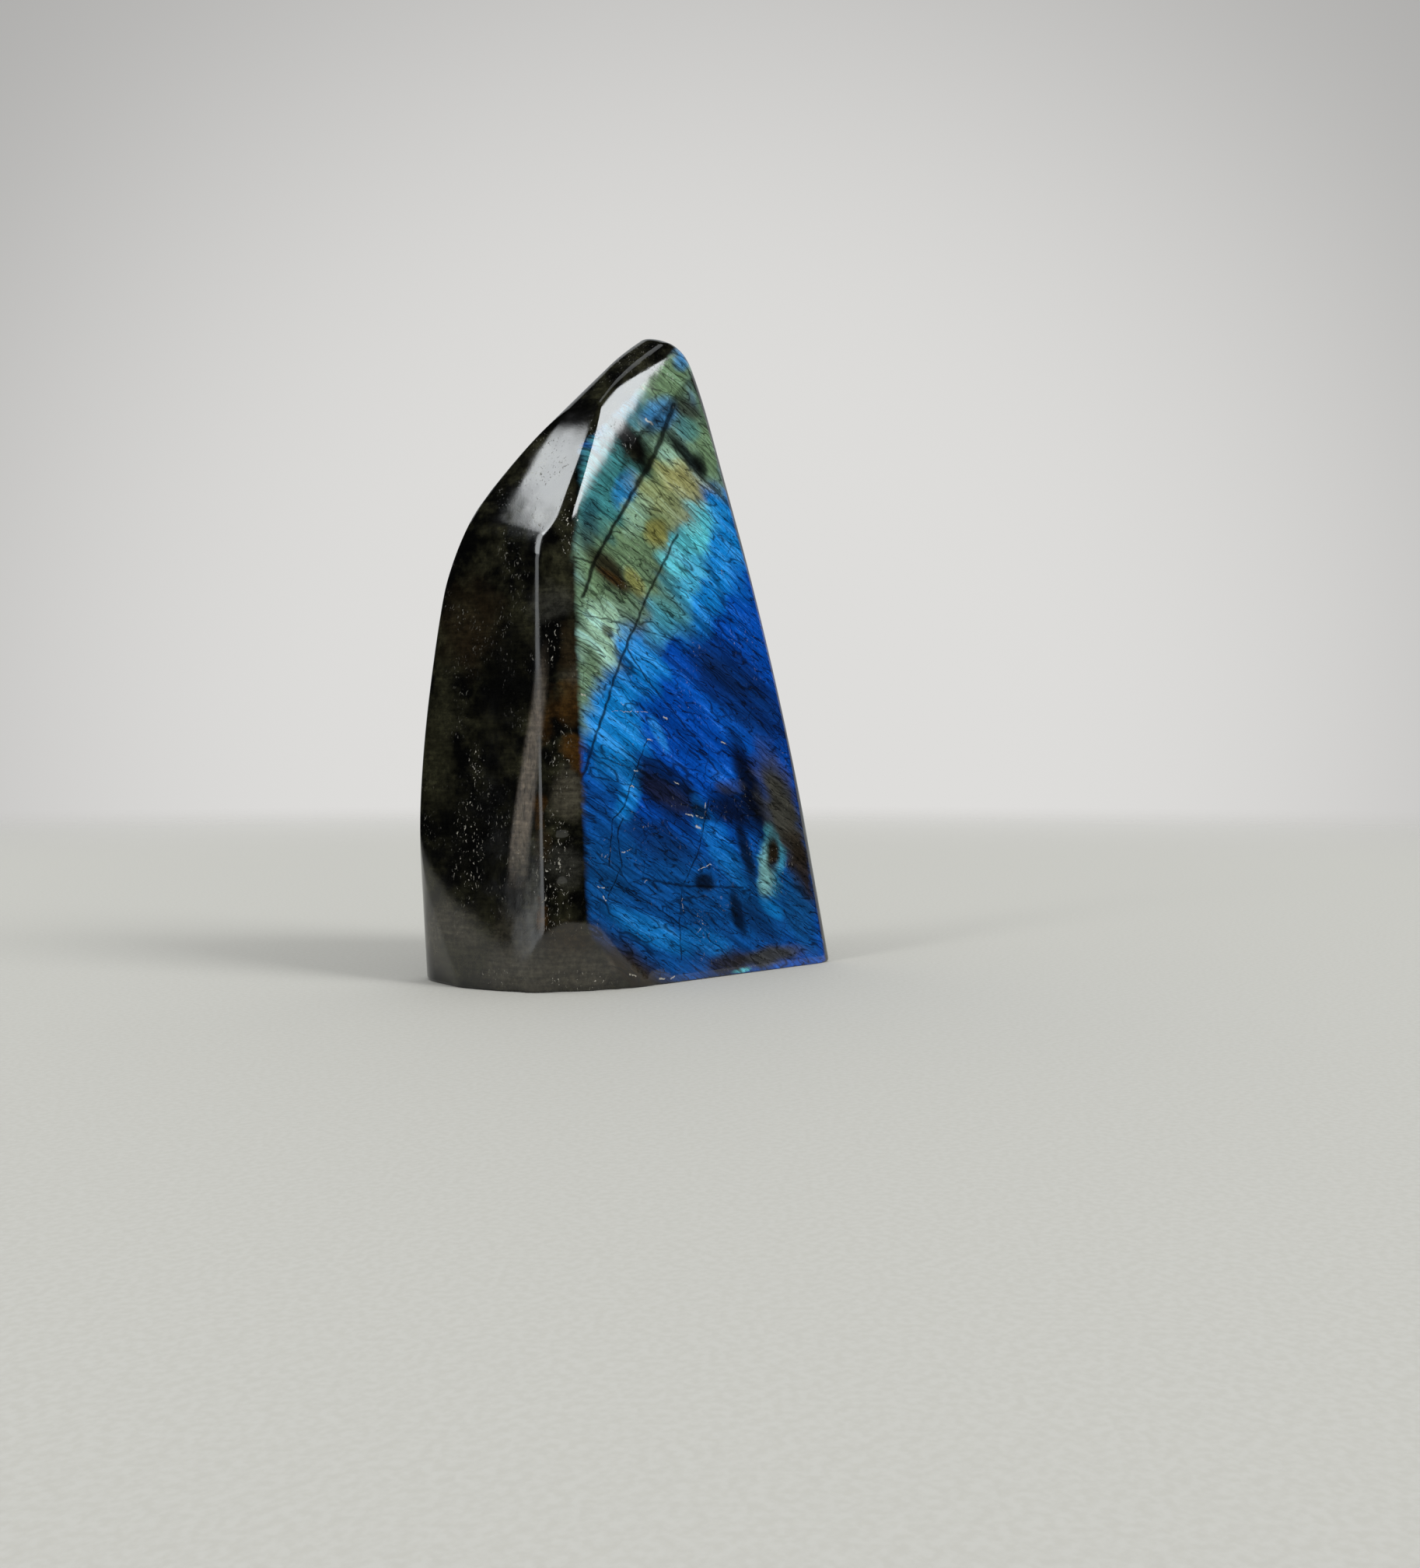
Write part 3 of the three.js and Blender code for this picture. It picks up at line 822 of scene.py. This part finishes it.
def flash_cover(recipe, place, right, up, ragged):
    """Where the flash shows: on the flat face, and near its top left on the facet beside it too."""
    depth = recipe.number("MULTIPLY_ADD", ragged, 0.3, depth_below(recipe, place, "face"))
    borders = (recipe.number("MULTIPLY_ADD", up, slope, start) for slope, start in FLASH_BORDERS)
    border = recipe.combine("MAXIMUM", borders)
    past = recipe.number("SUBTRACT", recipe.number("ADD", right, ragged), border)
    limits = [(past, BORDER_EDGE), (up, BORDER_FOOT), (past, BORDER_REACH), (depth, BORDER_DEPTH)]
    beside = recipe.combine("MULTIPLY", (recipe.fade(value, *edge) for value, edge in limits))
    return recipe.number("MAXIMUM", recipe.fade(depth, *FACE_RIM), beside)


def make_stone_material(colours):
    material = bpy.data.materials.new("polished_labradorite")
    material.use_nodes = True
    recipe = Recipe(material.node_tree)
    out = recipe.add("OutputMaterial", {})
    place = recipe.scaled(recipe.add("TexCoord", {}).outputs["Object"], 1 / MM)
    parts = recipe.add("SeparateXYZ", {0: place})
    right = recipe.number("SUBTRACT", parts.outputs["X"], FACE_LEFT)
    flat = recipe.add("CombineXYZ", {0: right, 1: parts.outputs["Z"], 2: 0.0}).outputs[0]

    flash = make_flash(recipe, flat, colours)
    body = make_body(recipe, place, colours)
    ragged = recipe.noise(place, 1.2, detail=3)
    cover = flash_cover(recipe, place, right, parts.outputs["Z"], ragged)
    skin = recipe.blend(cover, body, flash)

    # Pale specks: rough, dented pits whose pale colour is partly a painted glint.
    pits_and_glints = pale_specks_and_glints(recipe, place)
    scuffs = all_scuffs(recipe, shifted_by_noise(recipe, flat, 0.7, 0.7))
    scuffs = recipe.number("MULTIPLY", recipe.number("MULTIPLY", scuffs, cover), SCUFF_SHARE)
    pale = recipe.number("MAXIMUM", recipe.number("MULTIPLY", pits_and_glints, SPECK_AND_GLINT_SHARE), scuffs)
    skin = recipe.blend(pale, skin, tuple(colours.fleck_and_glint))

    smeared = recipe.fade(recipe.noise(place, 4.0, detail=4, rough=0.65), 0.35, 0.75, *POLISH)
    dulled = recipe.number("MAXIMUM", pale, painted_ridge_sheen(recipe, place))
    rough = recipe.number("MULTIPLY_ADD", dulled, DULL_ROUGHNESS, smeared)
    height = relief(recipe, place, pits_and_glints)
    skin_bump = {"Strength": BUMP_STRENGTH, "Distance": BUMP_DEPTH * MM, "Height": height}
    bump = recipe.add("Bump", skin_bump).outputs[0]
    shader = recipe.add(
        "BsdfPrincipled",
        {"Base Color": skin, "Roughness": rough, "IOR": REFRACTION, "Normal": bump},
    )
    recipe.tree.links.new(shader.outputs[0], out.inputs["Surface"])
    return material


class LABRADORITE_OT_stone(bpy.types.Operator):
    """Makes the stone, ground, rounded and polished, with its flash"""

    bl_idname = "labradorite.stone"
    bl_label = "Polished stone"

    def execute(self, context):
        mesh = make_stone_mesh(context.scene.labradorite_shape)
        mesh.materials.append(make_stone_material(context.scene.labradorite_colours))
        stone = bpy.data.objects.new("labradorite_stone", mesh)
        context.scene.collection.objects.link(stone)
        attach(stone, "root")
        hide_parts("labradorite")
        return {"FINISHED"}


# The camera stands at the left front, as seen from the flat face, and looks slightly down.
CAMERA_TURN = math.radians(-43.27)
CAMERA_DIP = math.radians(0.881)
CAMERA_LENS = 34.82
CAMERA_FRAME = 36.0
CAMERA_NEAR = 10 * MM
CAMERA_PLACE = (-151.56 * MM, -179.68 * MM, 32.4 * MM)

# Soft lights, seen from the stone: the corners of each one as a heading to the right of the camera
# and a height above the level in degrees, anticlockwise, and its share of the studio's light. A light
# behind the stone has headings past 180.
SOFT_LIGHTS = {
    "window": ([(-69, 59), (-53, 52), (-44, 48), (-44, 60)], 1.0),
    "window sill": ([(-53, 52), (-46, 22), (-37, 22), (-44, 52)], 0.7),
    "floor lamp": ([(-44, 22), (-57, -8), (-49, -8), (-36, 22)], 0.22),
    "softbox": ([(50, 27), (75, 26), (76, 46), (50, 56)], 1.3),
    "pale wall": ([(125, -20), (235, -20), (235, 50), (125, 50)], 0.06),
    "ceiling": ([(-180, 74), (180, 74), (180, 95), (-180, 95)], 0.1),
}
TOWARDS_CAMERA = -133.27
LIGHT_EDGE = 1.0
ROOM_LIGHT = 0.015
LIGHT_TINT = (0.94, 0.98, 1.0)

# The light from all round grows from a quarter below to all of it above, between these heights.
FILL_HEIGHTS = (-10, 40)
FILL_FROM_BELOW = 0.25

# The glow on the backdrop fades between these cosines of the angle from straight behind the stone.
GLOW_EDGE = (0.8, 0.99)

# Grain of the floor in metres, and where the floor begins and ends to fade, as shares of its radius.
FLOOR_GRAIN = 0.6 * MM
FLOOR_FADE = (0.3, 0.98)
FLOOR_SIDES = 96


def soft_light(recipe, turn, height, corners, brightness):
    """A soft-edged panel of light on the sky, inside every one of its sides."""
    total = brightness
    for (left, low), (right, high) in zip(corners, corners[1:] + corners[:1]):
        length = math.hypot(right - left, high - low)
        inward = (-(high - low) / length, (right - left) / length)
        start = inward[0] * left + inward[1] * low
        over = recipe.number("MULTIPLY_ADD", turn, inward[0], -start)
        inside = recipe.number("MULTIPLY_ADD", height, inward[1], over)
        total = recipe.number("MULTIPLY", total, recipe.fade(inside, -LIGHT_EDGE, LIGHT_EDGE))
    return total


def light_the_studio(studio):
    world = bpy.data.worlds.new("studio")
    world.use_nodes = True
    bpy.context.scene.world = world
    recipe = Recipe(world.node_tree)
    out = recipe.add("OutputWorld", {})
    ahead = recipe.add("TexCoord", {}).outputs["Generated"]
    up = recipe.add("SeparateXYZ", {0: ahead}).outputs["Z"]
    height = recipe.number("DEGREES", recipe.number("ARCSINE", up))
    camera = math.radians(TOWARDS_CAMERA)
    forward = recipe.vector("DOT_PRODUCT", ahead, (math.cos(camera), math.sin(camera), 0))
    across = recipe.vector("DOT_PRODUCT", ahead, (-math.sin(camera), math.cos(camera), 0))
    turn = recipe.number("DEGREES", recipe.number("ARCTAN2", across, forward))
    behind = recipe.number("WRAP", turn, 360.0, 0.0)
    total = ROOM_LIGHT
    for corners, share in SOFT_LIGHTS.values():
        seen_at = behind if corners[1][0] > 180 else turn
        panel = soft_light(recipe, seen_at, height, corners, share * studio.light)
        total = recipe.number("ADD", panel, total)
    rays = recipe.add("LightPath", {}).outputs
    fill = recipe.fade(height, *FILL_HEIGHTS, FILL_FROM_BELOW * studio.fill, studio.fill)
    total = recipe.number("MULTIPLY_ADD", rays["Is Diffuse Ray"], fill, total)
    tinted = recipe.blend(1.0, LIGHT_TINT, total, "MULTIPLY")
    lit = recipe.add("Background", {"Color": tinted, "Strength": 1.0}).outputs[0]
    glow = recipe.fade(
        recipe.number("MULTIPLY", forward, -1.0), *GLOW_EDGE, studio.backdrop_edge, 1.0
    )
    backdrop = {"Color": tuple(studio.backdrop_colour), "Strength": glow}
    backdrop = recipe.add("Background", backdrop).outputs[0]
    both = recipe.add("MixShader", {0: rays["Is Camera Ray"], 1: lit, 2: backdrop})
    recipe.tree.links.new(both.outputs[0], out.inputs["Surface"])


def make_floor_material(studio):
    """A plain matt floor that fades out into the backdrop."""
    material = bpy.data.materials.new("studio_floor")
    material.use_nodes = True
    recipe = Recipe(material.node_tree)
    out = recipe.add("OutputMaterial", {})
    place = recipe.add("TexCoord", {}).outputs["Object"]
    away = recipe.vector("LENGTH", place)
    grain = recipe.fade(recipe.noise(place, FLOOR_GRAIN, detail=2), 0.3, 0.7, 0.0, 0.06)
    ground = recipe.blend(grain, tuple(studio.floor_colour), (1, 1, 1))
    matt = recipe.add("BsdfPrincipled", {"Base Color": ground, "Roughness": 0.8}).outputs[0]
    clear = recipe.add("BsdfTransparent", {}).outputs[0]
    gone = recipe.fade(away, *(studio.floor_radius * share for share in FLOOR_FADE))
    both = recipe.add("MixShader", {0: gone, 1: matt, 2: clear})
    recipe.tree.links.new(both.outputs[0], out.inputs["Surface"])
    return material


def lay_the_floor(studio):
    bm = bmesh.new()
    bmesh.ops.create_circle(bm, cap_ends=True, radius=studio.floor_radius, segments=FLOOR_SIDES)
    mesh = bpy.data.meshes.new("studio_floor")
    bm.to_mesh(mesh)
    bm.free()
    mesh.materials.append(make_floor_material(studio))
    floor = bpy.data.objects.new("studio_floor", mesh)
    bpy.context.scene.collection.objects.link(floor)


def place_the_camera():
    data = bpy.data.cameras.new("camera")
    data.sensor_fit = "VERTICAL"
    data.sensor_height = CAMERA_FRAME
    data.lens = CAMERA_LENS
    data.clip_start = CAMERA_NEAR
    camera = bpy.data.objects.new("camera", data)
    camera.location = CAMERA_PLACE
    camera.rotation_euler = (math.pi / 2 - CAMERA_DIP, 0, CAMERA_TURN)
    bpy.context.scene.collection.objects.link(camera)
    bpy.context.scene.camera = camera


class LABRADORITE_OT_studio(bpy.types.Operator):
    """Lays a plain pale floor, lights it softly and places the camera"""

    bl_idname = "labradorite.studio"
    bl_label = "Plain studio"

    def execute(self, context):
        studio = context.scene.labradorite_studio
        light_the_studio(studio)
        lay_the_floor(studio)
        place_the_camera()
        context.scene.view_settings.view_transform = "Standard"
        return {"FINISHED"}


class LABRADORITE_PT_panel(bpy.types.Panel):
    """Lists the pieces in the sidebar"""

    bl_label = "Labradorite"
    bl_idname = "LABRADORITE_PT_panel"
    bl_space_type = "VIEW_3D"
    bl_region_type = "UI"
    bl_category = "Labradorite"

    def draw(self, context):
        for operator in OPERATORS:
            self.layout.operator(operator.bl_idname)
        for name in SETTINGS:
            group = getattr(context.scene, name)
            box = self.layout.box()
            for prop in group.__annotations__:
                box.prop(group, prop)


OPERATORS = (LABRADORITE_OT_stone, LABRADORITE_OT_studio)
SETTINGS = {
    "labradorite_shape": StoneShape,
    "labradorite_colours": StoneColours,
    "labradorite_studio": Studio,
}


def register():
    for cls in (*SETTINGS.values(), *OPERATORS, LABRADORITE_PT_panel):
        bpy.utils.register_class(cls)
    for name, group in SETTINGS.items():
        setattr(bpy.types.Scene, name, PointerProperty(type=group))


def unregister():
    for name in SETTINGS:
        delattr(bpy.types.Scene, name)
    for cls in (LABRADORITE_PT_panel, *OPERATORS, *SETTINGS.values()):
        bpy.utils.unregister_class(cls)


def main():
    register()
    bpy.ops.labradorite.stone()
    bpy.ops.labradorite.studio()


if __name__ == "__main__":
    main()
